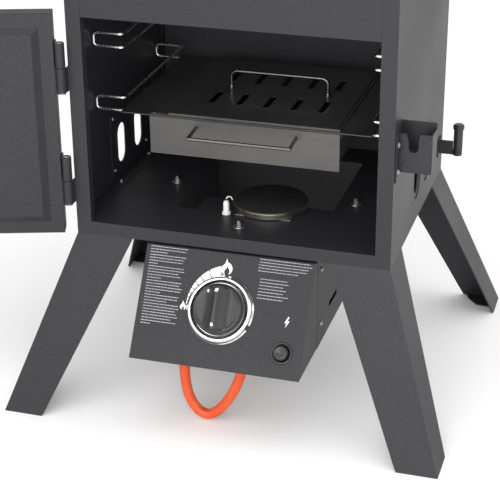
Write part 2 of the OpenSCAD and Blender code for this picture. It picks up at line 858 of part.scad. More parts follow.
electrode_at = [174, 69];
module igniter_electrode() {
    color("white") cab() translate([electrode_at[0], electrode_at[1], pan_h]) {
        cylinder(r = 5.5, h = 3);
        translate([0, 0, 3]) cylinder(r = 3.8, h = 12);
        translate([0, 0, 15]) cylinder(r1 = 3.8, r2 = 2.6, h = 3);
        wire([[0, 0, 16], [0, 0, 21], [2, 2, 23], [5, 5, 21.5], [6.5, 6.5, 17]], 0.8);
    }
}

// ---- Hose and regulator ----

clip_y = 50;
clip_z = -79;
module hose_clip() {
    x0 = console_x + sheet;
    hose_x = body_w / 2 - 52;
    color(steel) cab() {
        difference() {
            translate([hose_x, clip_y - 6, clip_z]) rotate([-90, 0, 0]) cylinder(r = hose_d / 2 + 2.4, h = 12);
            translate([hose_x, clip_y - 7, clip_z]) rotate([-90, 0, 0]) cylinder(r = hose_d / 2 + 1, h = 14);
        }
        box([x0, hose_x - hose_d / 2 - 1.2], [clip_y - 6, clip_y + 6], [clip_z + 1, clip_z + 2.4]);
        box([x0, x0 + 1.4], [clip_y - 6, clip_y + 6], [clip_z + 1, clip_z + 14]);
    }
}

module hose_fitting() {
    color([0.78, 0.70, 0.42]) cab() translate([222, -30, 0]) {
        translate([0, 0, -108]) cylinder(r = 10.5, h = 12, $fn = 6);
        translate([0, 0, -118]) cylinder(r1 = 7.2, r2 = 8.6, h = 10);
    }
}

// Catmull-Rom point between b and c
function at(path, i) = path[max(0, min(len(path) - 1, i))];

function unit(v) = v / norm(v);

// The hose runs in planes nearly across X or along the floor, so this side vector never vanishes
function ring(c, dir, sides) =
    let (s = unit(cross(dir, abs(dir[0]) > 0.9 ? [0, 0, 1] : [0.35, 1, 0.2])), u = cross(s, dir))
    [for (k = [0 : sides - 1]) c + hose_d / 2 * (cos(k * 360 / sides) * s + sin(k * 360 / sides) * u)];

module gas_hose() {
    sides = 10;
    path = hose_route;
    n = len(path);
    dirs = [for (i = [0 : n - 1]) unit(at(path, i + 1) - at(path, i - 1))];
    points = [for (i = [0 : n - 1]) each ring(path[i], dirs[i], sides)];
    walls = [for (i = [0 : n - 2], k = [0 : sides - 1])
        [i * sides + k, i * sides + (k + 1) % sides, (i + 1) * sides + (k + 1) % sides, (i + 1) * sides + k]];
    ends = [[for (k = [sides - 1 : -1 : 0]) k], [for (k = [0 : sides - 1]) (n - 1) * sides + k]];
    color("orange") polyhedron(points = points, faces = concat(walls, ends));
}

module regulator_body() {
    color([0.55, 0.56, 0.58]) translate([regulator_at[0], regulator_at[1], 0]) rotate([0, 0, 180]) {
        translate([0, 0, 0]) cylinder(r = 24, h = 10);
        translate([0, 0, 10]) cylinder(r = 28, h = 4);
        translate([0, 0, 14]) cylinder(r1 = 25, r2 = 18, h = 8);
        translate([0, 0, 22]) cylinder(r = 8, h = 5);
        translate([-36, 0, 7]) rotate([0, 90, 0]) cylinder(r = 7, h = 16);
        translate([20, 0, 8]) rotate([0, 90, 0]) cylinder(r = 6, h = 16);
    }
}

module regulator_nut() {
    color([0.78, 0.70, 0.42]) translate([regulator_at[0] - 54, regulator_at[1], 10]) rotate([0, 90, 0])
        cylinder(r = 10, h = 18, $fn = 6);
}

// ---- Trays, lid and box on the lower guides ----

module carrier_tray() {
    z0 = tray_z;
    hx = (body_w - hole_w) / 2;
    color(enamel) cab() {
        difference() {
            box([tray_x, tray_x + tray_w], [tray_y, tray_y + tray_d], [z0, z0 + tray_t]);
            box([hx, hx + hole_w], [hole_y, hole_y + hole_d], [z0 - 1, z0 + 3]);
        }
        for (s = [0, 1]) {
            web = s == 0 ? [hx - 6.8, hx - 5.6] : [body_w - hx + 5.6, body_w - hx + 6.8];
            lip = s == 0 ? [hx - 6.8, hx + 0.2] : [body_w - hx - 0.2, body_w - hx + 6.8];
            box(web, [tray_y + 4, tray_y + tray_d - 6], [rail_z, z0]);
            box(lip, [tray_y + 4, tray_y + tray_d - 6], [rail_z, rail_z + sheet]);
        }
    }
}

module chip_box() {
    x0 = (body_w - box_w) / 2;
    hx = (body_w - hole_w) / 2;
    z1 = rail_z - 0.3;
    top = rail_z + sheet + 0.3;
    z0 = tray_z - 0.5 - box_h;
    color(steel) cab() {
        box([x0, x0 + box_w], [box_y - 2, box_y - 0.8], [z0, tray_z - 0.5]);
        difference() {
            box([hx + 2, body_w - hx - 2], [box_y - 1, 284], [z0 + 1, top + sheet]);
            box([hx + 3, body_w - hx - 3], [box_y - 0.8, 283], [z0 + 2, top + 5]);
        }
        box([hx - 4.6, hx + 3], [box_y + 4, 284], [top, top + sheet]);
        box([body_w - hx - 3, body_w - hx + 4.6], [box_y + 4, 284], [top, top + sheet]);
        wire([[139, box_y - 2, 132], [139, 29, 129], [267, 29, 129], [267, box_y - 2, 132]], 2.2);
    }
}

module chip_lid() {
    x0 = (body_w - lid_w) / 2;
    color(enamel) cab() difference() {
        union() {
            box([x0, x0 + lid_w], [lid_y, lid_y + lid_d], [lid_z, lid_z + 1.2]);
            box([x0 + 24, x0 + lid_w], [lid_y, lid_y + 1.2], [lid_z, lid_z + 3.4]);
            for (x = [x0 + 4, x0 + lid_w - 7]) box([x, x + 3], [lid_y, lid_y + lid_d], [lid_z, lid_z + 2.6]);
        }
        for (i = [0 : 4], y = slot_ys) translate([slot_x + i * slot_pitch, y, lid_z - 1]) round_slot(8, 42, 8);
        for (x = handle_x) translate([x, handle_y, lid_z - 1]) cylinder(r = 2.5, h = 6);
    }
}

module lid_handle() {
    z = lid_z;
    bend = 8;
    top = 24;
    color(chrome) cab() {
        for (x = handle_x) {
            translate([x, handle_y, z - 6]) cylinder(r = 2.25, h = top - bend + 6);
            translate([x, handle_y, z + 1.2]) cylinder(r = 4.6, h = 4, $fn = 6);
            translate([x, handle_y, z - 4]) cylinder(r = 4.6, h = 4, $fn = 6);
        }
        translate([handle_x[0] + bend, handle_y, z + top - bend]) rotate([90, 0, 0]) rotate([0, 0, 90])
            rotate_extrude(angle = 90) translate([bend, 0]) circle(r = 2.25);
        translate([handle_x[1] - bend, handle_y, z + top - bend]) rotate([90, 0, 0])
            rotate_extrude(angle = 90) translate([bend, 0]) circle(r = 2.25);
        translate([handle_x[0] + bend, handle_y, z + top]) rotate([0, 90, 0])
            cylinder(r = 2.25, h = handle_x[1] - handle_x[0] - 2 * bend);
    }
}

// ---- Upper chamber ----

module water_pan() {
    z = upper_levels[0] + wire_r + 0.3;
    color(enamel) cab() difference() {
        union() {
            translate([tray_x, 62, z]) rounded_plate(tray_w, 240, 20, tray_t);
            translate([55, 76, z - 62]) rounded_plate(290, 212, 18, 62);
        }
        translate([57, 78, z - 60]) rounded_plate(286, 208, 16, 70);
    }
}

module rack(z) {
    zr = z + wire_r + 0.3 + 3;
    x0 = (body_w - rack_w) / 2;
    ring = [[x0, rack_y], [x0 + rack_w, rack_y], [x0 + rack_w, rack_y + rack_d], [x0, rack_y + rack_d]];
    color(chrome) cab() {
        for (i = [0 : 3]) {
            a = ring[i];
            b = ring[(i + 1) % 4];
            rod([a[0], a[1], zr], [b[0], b[1], zr], 3);
            ball([a[0], a[1], zr], 3);
        }
        for (i = [1 : 15]) rod([x0 + i * rack_w / 16, rack_y, zr + 1.6], [x0 + i * rack_w / 16, rack_y + rack_d, zr + 1.6], 1.6);
        rod([x0, rack_y + rack_d / 2, zr - 1], [x0 + rack_w, rack_y + rack_d / 2, zr - 1], 2);
    }
}

module lower_rack() {
    rack(upper_levels[1]);
}

module upper_rack() {
    rack(upper_levels[3]);
}

base_pan();
left_wall();
right_wall();
rear_wall();
divider_bar();
top_panel();
leg_front_left();
leg_front_right();
leg_rear_left();
leg_rear_right();
leg_bolts();
floor_studs();
case_screws();
vent_plates();
lower_wire_guides();
upper_wire_guides();
lower_keeper();
upper_keeper();
side_hook();
hook_peg();
cabinet_hinge_leaves();
hinge_pins();
console_box();
console_panel();
knob_bezel();
gas_valve();
igniter_body();
burner_tube();
burner_bracket();
burner_base();
burner_cap();
igniter_electrode();
hose_clip();
hose_fitting();
gas_hose();
regulator_body();
regulator_nut();
lower_door_shell();
lower_door_liner();
lower_door_hinges();
lower_latch_mount();
lower_latch_lever();
upper_door_shell();
upper_door_liner();
upper_door_hinges();
upper_latch_mount();
upper_latch_lever();
thermometer_case();
thermometer_dial();
thermometer_lens();
control_knob();
igniter_button();
carrier_tray();
chip_box();
chip_lid();
lid_handle();
water_pan();
lower_rack();
upper_rack();
top_damper();
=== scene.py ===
"""Looks of the vertical gas water smoker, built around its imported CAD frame."""

import json
import math
import random

import bmesh
import bpy
from mathutils import Matrix, Vector


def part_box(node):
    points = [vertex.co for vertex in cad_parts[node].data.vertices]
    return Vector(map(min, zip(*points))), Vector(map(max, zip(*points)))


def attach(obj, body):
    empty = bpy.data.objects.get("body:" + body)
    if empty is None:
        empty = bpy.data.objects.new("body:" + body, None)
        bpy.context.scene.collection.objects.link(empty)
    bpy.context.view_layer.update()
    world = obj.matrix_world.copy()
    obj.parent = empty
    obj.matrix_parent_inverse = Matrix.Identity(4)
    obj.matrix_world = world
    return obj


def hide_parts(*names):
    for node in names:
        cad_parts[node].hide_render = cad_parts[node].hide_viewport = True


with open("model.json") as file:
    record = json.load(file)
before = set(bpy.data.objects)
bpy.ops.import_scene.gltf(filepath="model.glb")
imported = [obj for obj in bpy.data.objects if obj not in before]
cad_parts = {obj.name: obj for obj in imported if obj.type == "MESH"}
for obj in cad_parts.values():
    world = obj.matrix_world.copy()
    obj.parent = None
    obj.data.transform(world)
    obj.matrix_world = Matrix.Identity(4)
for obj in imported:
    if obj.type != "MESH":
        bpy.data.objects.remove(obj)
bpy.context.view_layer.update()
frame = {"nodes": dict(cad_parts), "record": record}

PAN_LO, PAN_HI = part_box("base_pan")
MM = 0.001
BODY_W = (PAN_HI.x - PAN_LO.x) / MM
SHEET = 1.2


def cab(x, y, z):
    """A point given in millimetres from the base pan's front left lower corner."""
    return PAN_LO + Vector((x, y, z)) * MM


# ---- Camera ----

CAMERA_AT = (712.5, -1587.5, 792)
CAMERA_TURN = (-0.2974, 0.44284, -0.00809)
SENSOR = 36
LENS = 108.7596


def camera():
    """Looks along yaw and pitch, in radians, and is turned by roll about that line."""
    yaw, pitch, roll = CAMERA_TURN
    look = Vector((math.sin(yaw) * math.cos(pitch), math.cos(yaw) * math.cos(pitch), -math.sin(pitch)))
    right = Vector((math.cos(yaw), -math.sin(yaw), 0))
    up = right.cross(look)
    right, up = (math.cos(roll) * right + math.sin(roll) * up,
                 -math.sin(roll) * right + math.cos(roll) * up)
    data = bpy.data.cameras.new("camera")
    data.sensor_width = SENSOR
    data.lens = LENS
    data.clip_end = 50
    cam = bpy.data.objects.new("camera", data)
    bpy.context.scene.collection.objects.link(cam)
    m = Matrix((right, up, -look)).transposed().to_4x4()
    m.translation = cab(*CAMERA_AT)
    cam.matrix_world = m
    bpy.context.scene.camera = cam


camera()


# ---- Materials ----

def links(mat):
    return mat.node_tree.nodes, mat.node_tree.links


def new_mat(name, rough=0.5, metal=0.0, coat=0.0, specular=0.5):
    mat = bpy.data.materials.new(name)
    mat.use_nodes = True
    bsdf = mat.node_tree.nodes["Principled BSDF"]
    bsdf.inputs["Roughness"].default_value = rough
    bsdf.inputs["Metallic"].default_value = metal
    bsdf.inputs["Coat Weight"].default_value = coat
    bsdf.inputs["Coat Roughness"].default_value = 0.08
    bsdf.inputs["Specular IOR Level"].default_value = specular
    return mat, bsdf


def noise(mat, scale, detail=3.0, stretch=(1, 1, 1), distort=0.0):
    nodes, link = links(mat)
    coord = nodes.new("ShaderNodeTexCoord")
    mapping = nodes.new("ShaderNodeMapping")
    mapping.inputs["Scale"].default_value = stretch
    tex = nodes.new("ShaderNodeTexNoise")
    tex.inputs["Scale"].default_value = scale
    tex.inputs["Detail"].default_value = detail
    tex.inputs["Distortion"].default_value = distort
    link.new(coord.outputs["Object"], mapping.inputs["Vector"])
    link.new(mapping.outputs["Vector"], tex.inputs["Vector"])
    return tex.outputs["Fac"]


def ramp(mat, fac, stops):
    nodes, link = links(mat)
    node = nodes.new("ShaderNodeValToRGB")
    while len(node.color_ramp.elements) < len(stops):
        node.color_ramp.elements.new(0.5)
    for element, (pos, colour) in zip(node.color_ramp.elements, stops):
        element.position = pos
        element.color = (*colour, 1)
    link.new(fac, node.inputs["Fac"])
    return node.outputs["Color"]


def mix_colour(mat, fac, a, b, mode="MIX"):
    """Mixes two colours by a fixed share; sockets 6 and 7 are the node's colour inputs."""
    nodes, link = links(mat)
    node = nodes.new("ShaderNodeMix")
    node.data_type = "RGBA"
    node.blend_type = mode
    node.inputs["Factor"].default_value = fac
    link.new(a, node.inputs[6])
    link.new(b, node.inputs[7])
    return node.outputs[2]


def spread(mat, fac, low, high):
    """A value from low to high, following fac."""
    nodes, link = links(mat)
    node = nodes.new("ShaderNodeMapRange")
    node.inputs["From Min"].default_value = 0.3
    node.inputs["From Max"].default_value = 0.7
    node.inputs["To Min"].default_value = low
    node.inputs["To Max"].default_value = high
    link.new(fac, node.inputs["Value"])
    return node.outputs["Result"]


def bump(mat, bsdf, layers):
    """layers is a list of (height output, strength, distance)."""
    nodes, link = links(mat)
    normal = None
    for height, strength, distance in layers:
        node = nodes.new("ShaderNodeBump")
        node.inputs["Strength"].default_value = strength
        node.inputs["Distance"].default_value = distance
        link.new(height, node.inputs["Height"])
        if normal is not None:
            link.new(normal, node.inputs["Normal"])
        normal = node.outputs["Normal"]
    link.new(normal, bsdf.inputs["Normal"])


def grey(v, warm=0.0):
    return (v * (1 + warm), v, v * (1 - warm))


def violet_grey(v):
    """The very slightly violet grey of the powder coat."""
    return (v * 1.01, v * 0.98, v * 1.14)


def charcoal_coat(name="charcoal_powder_coat", level=0.022, rough=0.46):
    mat, bsdf = new_mat(name, rough, specular=0.3)
    link = mat.node_tree.links
    fine = noise(mat, 1500, 2)
    speck = noise(mat, 620, 2)
    cloud = noise(mat, 5, 4)
    tint = ramp(mat, cloud, [(0.3, violet_grey(level * 0.86)), (0.7, violet_grey(level * 1.1))])
    grain = ramp(mat, speck, [(0.36, violet_grey(level * 0.6)), (0.52, violet_grey(level)),
                              (0.68, violet_grey(level * 2))])
    link.new(mix_colour(mat, 0.5, tint, grain), bsdf.inputs["Base Color"])
    link.new(spread(mat, cloud, rough - 0.05, rough + 0.07), bsdf.inputs["Roughness"])
    bump(mat, bsdf, [(fine, 0.35, 0.00022), (speck, 0.25, 0.0003), (cloud, 0.1, 0.002)])
    return mat


def gloss_enamel():
    mat, bsdf = new_mat("gloss_black_enamel", 0.2, coat=0.35)
    link = mat.node_tree.links
    cloud = noise(mat, 9, 5, distort=0.6)
    peel = noise(mat, 260, 2)
    dust = noise(mat, 900, 4)
    base = ramp(mat, cloud, [(0.35, (0.014, 0.0136, 0.0136)), (0.65, (0.034, 0.032, 0.031))])
    specks = ramp(mat, dust, [(0.66, (0.0, 0.0, 0.0)), (0.78, (0.05, 0.048, 0.045))])
    link.new(mix_colour(mat, 1.0, base, specks, "ADD"), bsdf.inputs["Base Color"])
    link.new(spread(mat, cloud, 0.22, 0.38), bsdf.inputs["Roughness"])
    bump(mat, bsdf, [(peel, 0.12, 0.0003), (cloud, 0.12, 0.003)])
    return mat


def metal(name, level, rough, scale=700, stretch=(1, 1, 1), warm=0.0, strength=0.1, swing=0.08, spots=0.85):
    mat, bsdf = new_mat(name, rough, 1.0)
    link = mat.node_tree.links
    streak = noise(mat, scale, 4, stretch)
    cloud = noise(mat, 14, 4, distort=0.4)
    base = ramp(mat, cloud, [(0.3, grey(level * spots, warm)), (0.7, grey(level, warm))])
    lines = ramp(mat, streak, [(0.3, grey(level * 0.78, warm)), (0.7, grey(min(1, level * 1.12), warm))])
    link.new(mix_colour(mat, 0.55, base, lines), bsdf.inputs["Base Color"])
    link.new(spread(mat, streak, rough - swing, rough + swing), bsdf.inputs["Roughness"])
    bump(mat, bsdf, [(streak, strength, 0.0002), (cloud, 0.08, 0.002)])
    return mat


def plastic(name, colour, rough, grain=900, coat=0.0, specular=0.5):
    mat, bsdf = new_mat(name, rough, coat=coat, specular=specular)
    link = mat.node_tree.links
    fine = noise(mat, grain, 3)
    cloud = noise(mat, 20, 4)
    low = tuple(c * 0.82 for c in colour)
    high = tuple(min(1, c * 1.15) for c in colour)
    link.new(ramp(mat, cloud, [(0.3, low), (0.7, high)]), bsdf.inputs["Base Color"])
    link.new(spread(mat, fine, max(0.02, rough - 0.06), rough + 0.06), bsdf.inputs["Roughness"])
    bump(mat, bsdf, [(fine, 0.14, 0.0002)])
    return mat


def hose_rubber():
    mat, bsdf = new_mat("orange_hose_rubber", 0.36, coat=0.15)
    link = mat.node_tree.links
    cloud = noise(mat, 30, 4)
    fine = noise(mat, 1200, 2)
    orange = ramp(mat, cloud, [(0.3, (0.56, 0.05, 0.004)), (0.7, (0.72, 0.085, 0.008))])
    link.new(orange, bsdf.inputs["Base Color"])
    link.new(spread(mat, fine, 0.3, 0.44), bsdf.inputs["Roughness"])
    bump(mat, bsdf, [(fine, 0.2, 0.0002), (cloud, 0.1, 0.001)])
    return mat


def clear_glass():
    mat, bsdf = new_mat("clear_glass", 0.03)
    link = mat.node_tree.links
    bsdf.inputs["Transmission Weight"].default_value = 0.9
    bsdf.inputs["Alpha"].default_value = 0.4
    smear = noise(mat, 60, 4)
    link.new(ramp(mat, smear, [(0.3, (0.9, 0.94, 0.94)), (0.7, (1, 1, 1))]), bsdf.inputs["Base Color"])
    link.new(spread(mat, smear, 0.02, 0.07), bsdf.inputs["Roughness"])
    return mat


M = {
    "charcoal_enamel": charcoal_coat(),
    "gloss_enamel": gloss_enamel(),
    "chrome_wire": metal("chrome_wire", 0.85, 0.24, 500, strength=0.08, swing=0.06),
    "chrome_trim": metal("chrome_trim", 0.8, 0.08, 400, strength=0.03, swing=0.03),
    "brushed_stainless": metal("brushed_stainless", 0.115, 0.4, 260, (0.25, 1, 9), 0.035, 0.22, 0.1, 0.6),
    "zinc_steel": metal("zinc_steel", 0.36, 0.36, 900, strength=0.18),
    "black_plastic": plastic("black_plastic", (0.022, 0.022, 0.024), 0.33),
    "cast_black": plastic("cast_black", (0.012, 0.012, 0.012), 0.62, 1300),
    "brass": metal("brass_machined", 0.55, 0.3, 800, warm=0.0),
    "white_ceramic": plastic("white_ceramic", (0.8, 0.79, 0.75), 0.22, 500, 0.4),
    "orange_hose": hose_rubber(),
    "cast_zinc": metal("cast_zinc", 0.42, 0.5, 1100, strength=0.35),
    "dial_white": plastic("dial_white", (0.8, 0.8, 0.78), 0.5),
    "clear_glass": clear_glass(),
}


def make_yellow(mat):
    """Turns a grey metal's colour ramps to brass."""
    for node in mat.node_tree.nodes:
        if node.type == "VALTORGB":
            for element in node.color_ramp.elements:
                v = element.color[1]
                element.color = (v * 1.35, v * 0.98, v * 0.42, 1)


make_yellow(M["brass"])
WHITE_PRINT = plastic("white_print", (0.86, 0.86, 0.86), 0.5)
GREY_PRINT = plastic("grey_print", (0.36, 0.36, 0.37), 0.5)
DARK_WIRE = metal("dark_steel_wire", 0.16, 0.26, 600, warm=0.02, strength=0.1)
# Near black for the burner ports' bottoms: painted shade inside the holes.
PAINTED_PORT_SHADE = plastic("painted_port_shade", (0.004, 0.004, 0.004), 0.8)
BLACK_MARK = plastic("black_mark", (0.02, 0.02, 0.02), 0.6)
RED_MARK = plastic("red_mark", (0.6, 0.02, 0.015), 0.5)

SLOTS = {s["node"]: s["material_slot"] for s in frame["record"]["subparts"]}


# ---- Mesh helpers ----

def add_object(name, verts, faces, mat, body, smooth=False, replaces=()):
    mesh = bpy.data.meshes.new(name)
    mesh.from_pydata([tuple(v) for v in verts], [], faces)
    mesh.update()
    for polygon in mesh.polygons:
        polygon.use_smooth = smooth
    mesh.materials.append(mat)
    obj = bpy.data.objects.new(name, mesh)
    bpy.context.scene.collection.objects.link(obj)
    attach(obj, body)
    if replaces:
        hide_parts(*replaces)
    return obj


def soften(obj, width=0.0004, angle=32, segments=2):
    """Rounds an object's sharp edges, as folds and moulded corners are."""
    imported = obj.data.attributes.get("custom_normal")
    if imported:
        obj.data.attributes.remove(imported)
    for polygon in obj.data.polygons:
        polygon.use_smooth = True
    weld = obj.modifiers.new("weld", "WELD")
    weld.merge_threshold = 0.00001
    flat = obj.modifiers.new("flat_faces", "DECIMATE")
    flat.decimate_type = "DISSOLVE"
    flat.angle_limit = math.radians(0.6)
    bevel = obj.modifiers.new("edges", "BEVEL")
    bevel.width = width
    bevel.segments = segments
    bevel.limit_method = "ANGLE"
    bevel.angle_limit = math.radians(angle)
    bevel.harden_normals = True
    return obj


def hexagon(radius, turn=0.0):
    """A nut's outline, from its corner radius in millimetres."""
    corners = [k * math.pi / 3 + turn for k in range(6)]
    return [(radius * MM * math.cos(a), radius * MM * math.sin(a)) for a in corners]


class Shape:
    """Vertices and faces of one piece, gathered from simple forms that are placed by a matrix."""

    def __init__(self, place=None):
        self.verts = []
        self.faces = []
        self.place = place or Matrix.Identity(4)

    def add(self, verts, faces):
        start = len(self.verts)
        self.verts += [self.place @ Vector(v) for v in verts]
        self.faces += [[start + i for i in face] for face in faces]

    def lathe(self, profile, sides=64, at=None):
        """Turns (radius, height) points about the local Z axis; at is a local matrix."""
        at = at or Matrix.Identity(4)
        verts = []
        for radius, height in profile:
            for k in range(sides):
                a = 2 * math.pi * k / sides
                verts.append(at @ Vector((radius * math.cos(a), radius * math.sin(a), height)))
        faces = []
        for i in range(len(profile) - 1):
            for k in range(sides):
                n = (k + 1) % sides
                faces.append([i * sides + k, i * sides + n, (i + 1) * sides + n, (i + 1) * sides + k])
        if profile[0][0] > 0:
            faces.append([k for k in range(sides - 1, -1, -1)])
        if profile[-1][0] > 0:
            faces.append([(len(profile) - 1) * sides + k for k in range(sides)])
        self.add(verts, faces)

    def prism(self, outline, z0, z1, at=None):
        """Raises an outline from z0 to z1."""
        at = at or Matrix.Identity(4)
        n = len(outline)
        verts = [at @ Vector((x, y, z)) for z in (z0, z1) for x, y in outline]
        faces = [list(range(n - 1, -1, -1)), list(range(n, 2 * n))]
        faces += [[k, (k + 1) % n, n + (k + 1) % n, n + k] for k in range(n)]
        self.add(verts, faces)

    def tube(self, points, radius, sides=12, closed=False):
        """A round rod along a path, without twist."""
        points = [Vector(p) for p in points]
        n = len(points)
        side = None
        verts = []
        for i in range(n):
            a = points[(i - 1) % n] if closed or i else points[0]
            b = points[(i + 1) % n] if closed or i < n - 1 else points[-1]
            direction = (b - a).normalized()
            if side is None:
                side = direction.orthogonal().normalized()
            side = (side - side.dot(direction) * direction).normalized()
            up = direction.cross(side)
            for k in range(sides):
                t = 2 * math.pi * k / sides
                verts.append(points[i] + radius * (math.cos(t) * side + math.sin(t) * up))
        faces = []
        for i in range(n if closed else n - 1):
            j = (i + 1) % n
            turn = 0
            if closed and j == 0:
                turn = min(range(sides), key=lambda s: (verts[s] - verts[(n - 1) * sides]).length)
            for k in range(sides):
                m = (k + 1) % sides
                faces.append([i * sides + k, i * sides + m, j * sides + (m + turn) % sides,
                              j * sides + (k + turn) % sides])
        if not closed:
            faces.append(list(range(sides - 1, -1, -1)))
            faces.append([(n - 1) * sides + k for k in range(sides)])
        self.add(verts, faces)

    def object(self, name, mat, body, smooth=True, replaces=()):
        obj = add_object(name, self.verts, self.faces, mat, body, smooth, replaces)
        bm = bmesh.new()
        bm.from_mesh(obj.data)
        bmesh.ops.remove_doubles(bm, verts=bm.verts, dist=1e-7)
        bmesh.ops.recalc_face_normals(bm, faces=bm.faces)
        bm.to_mesh(obj.data)
        bm.free()
        return obj


def rounded(points, radius, steps=6, closed=False):
    """A path with each corner turned into an arc."""
    points = [Vector(p) for p in points]
    n = len(points)
    out = []
    for i in range(n):
        if not closed and i in (0, n - 1):
            out.append(points[i])
            continue
        p, a, b = points[i], points[i - 1], points[(i + 1) % n]
        u, v = (a - p).normalized(), (b - p).normalized()
        half = math.acos(max(-1, min(1, u.dot(v)))) / 2
        back = min(radius / math.tan(half), 0.45 * (a - p).length, 0.45 * (b - p).length)
        r = back * math.tan(half)
        centre = p + (u + v).normalized() * (r / math.sin(half))
        start, end = p + u * back, p + v * back
        s, e = start - centre, end - centre
        total = s.angle(e)
        for k in range(steps + 1):
            t = k / steps
            out.append(centre + (math.sin((1 - t) * total) * s + math.sin(t * total) * e) / math.sin(total))
    return out


def scaled(points):
    """Pairs given in millimetres, in metres."""
    return [(a * MM, b * MM) for a, b in points]


def facing(origin, normal, up=(0, 0, 1)):
    """A matrix whose local Z is normal and whose local Y is as near up as can be."""
    z = Vector(normal).normalized()
    x = Vector(up).cross(z)
    if x.length < 1e-6:
        x = Vector((1, 0, 0))
    x.normalize()
    m = Matrix((x, z.cross(x), z)).transposed().to_4x4()
    m.translation = Vector(origin)
    return m


# ---- Hose, built first, along a route that suits the CAD frame ----

HOSE_D = 0.0133
HOSE_ROUTE = [
    (22, -196, 110), (22, -196, 92), (21.8, -196, 75), (18, -196, 62), (12.5, -196, 49),
    (5.5, -196, 36), (-3, -196, 24), (-12, -196, 14.5), (-22, -196, 9.6), (-32, -196, 12),
    (-40, -196, 20), (-46.5, -196, 32), (-50, -196, 46), (-51.6, -196, 59), (-52, -196, 74),
    (-52, -195, 96), (-52, -187, 120), (-52, -170, 138), (-52, -146, 147),
    (-52, -116, 149), (-51, -80, 145), (-50, -40, 134), (-48, 2, 117), (-45, 44, 97),
    (-42, 84, 73), (-40, 118, 48), (-41, 148, 26), (-47, 174, 12), (-58, 198, 7.2),
    (-73, 213, 7.2), (-88, 219, 7.2), (-102, 219, 7.2)]


def hose():
    """The smooth curve is slightly longer than the straight stretches between its points."""
    curve = bpy.data.curves.new("gas_hose_soft", "CURVE")
    curve.dimensions = "3D"
    curve.bevel_depth = HOSE_D / 2
    curve.bevel_resolution = 7
    curve.resolution_u = 8
    curve.use_fill_caps = True
    spline = curve.splines.new("BEZIER")
    spline.bezier_points.add(len(HOSE_ROUTE) - 1)
    for point, place in zip(spline.bezier_points, HOSE_ROUTE):
        point.co = Vector(place) * MM
        point.handle_left_type = point.handle_right_type = "AUTO"
    curve.materials.append(M["orange_hose"])
    obj = bpy.data.objects.new("gas_hose_soft", curve)
    bpy.context.scene.collection.objects.link(obj)
    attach(obj, "cabinet")
    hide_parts("gas_hose")


hose()

# ---- CAD nodes: materials and softened folds ----

FOLDED = {
    "base_pan": 0.0005, "left_wall": 0.0004, "right_wall": 0.0004, "rear_wall": 0.0004,
    "divider_bar": 0.0005, "top_panel": 0.0008, "leg_front_left": 0.0009, "leg_front_right": 0.0009,
    "leg_rear_left": 0.0009, "leg_rear_right": 0.0009, "console_box": 0.0004, "console_panel": 0.0006,
    "lower_door_shell": 0.0012, "upper_door_shell": 0.0012, "lower_door_liner": 0.0012,
    "upper_door_liner": 0.0012, "lower_keeper": 0.0007, "upper_keeper": 0.0007, "side_hook": 0.0006,
    "cabinet_hinge_leaves": 0.0003, "lower_door_hinges": 0.0003, "upper_door_hinges": 0.0003,
    "vent_plates": 0.0007, "carrier_tray": 0.0004, "chip_lid": 0.0004, "chip_box": 0.0004,
    "water_pan": 0.0012, "top_damper": 0.0001, "lower_latch_mount": 0.0006, "upper_latch_mount": 0.0006,
    "lower_latch_lever": 0.0008, "upper_latch_lever": 0.0008, "hook_peg": 0.0008, "burner_bracket": 0.0003,
    "leg_bolts": 0.0005, "regulator_body": 0.001, "regulator_nut": 0.0008, "hose_fitting": 0.0006,
    "gas_valve": 0.0006, "thermometer_case": 0.0008, "igniter_body": 0.0008, "burner_cap": 0.0004,
    "igniter_button": 0.0006, "igniter_electrode": 0.0002, "hose_clip": 0.0003, "hinge_pins": 0.0003,
}
BOX_FRONT_Y = 59.5


def dress_nodes():
    for node, obj in frame["nodes"].items():
        obj.data.materials.clear()
        obj.data.materials.append(M[SLOTS[node]])
        if node in FOLDED:
            soften(obj, FOLDED[node])


def box_handle():
    """The wire handle stands in front of the chip box's face and is darker than the box."""
    obj = frame["nodes"]["chip_box"]
    obj.data.materials.append(DARK_WIRE)
    front = cab(0, BOX_FRONT_Y, 0).y
    for polygon in obj.data.polygons:
        if polygon.center.y < front:
            polygon.material_index = 1


dress_nodes()
box_handle()


# ---- Wires ----

WIRE_R = 2.0
WALL_GAP = 0.3
STUD_R = 1.6
LOWER_LEVELS = (140, 222)
UPPER_LEVELS = (410, 520, 630, 740)
GUIDE_Y = (74, 293)
GUIDE_REACH = 44
WIRE_RISE = 17


def guide_loop(shape, z, right):
    """An upper and a lower U joined at both ends, on two short studs."""
    def at(x, y, h):
        return cab(BODY_W - x if right else x, y, h)

    wall = SHEET + WIRE_R + WALL_GAP
    reach = GUIDE_REACH - WIRE_R
    top = z + WIRE_RISE
    path = [at(wall, GUIDE_Y[0], top), at(reach, GUIDE_Y[0], top), at(reach, GUIDE_Y[1], top),
            at(wall, GUIDE_Y[1], top), at(wall, GUIDE_Y[1], z), at(reach, GUIDE_Y[1], z),
            at(reach, GUIDE_Y[0], z), at(wall, GUIDE_Y[0], z)]
    shape.tube(rounded(path, 0.005, 6, True), WIRE_R * MM, 12, True)
    for y in GUIDE_Y:
        shape.tube([at(SHEET, y, z + WIRE_RISE / 2), at(wall, y, z + WIRE_RISE / 2)], STUD_R * MM, 10)


def guides(name, node, levels):
    shape = Shape()
    for z in levels:
        for right in (False, True):
            guide_loop(shape, z, right)
    shape.object(name, M["chrome_wire"], "cabinet", replaces=[node])


guides("lower_guide_wires", "lower_wire_guides", LOWER_LEVELS)
guides("upper_guide_wires", "upper_wire_guides", UPPER_LEVELS)

NUT_R = 4.6
HANDLE_X = (148, 276)
HANDLE_Y = 180
HANDLE_RISE = 24
HANDLE_DROP = 6
HANDLE_R = 2.25
LID_Z = 144.0


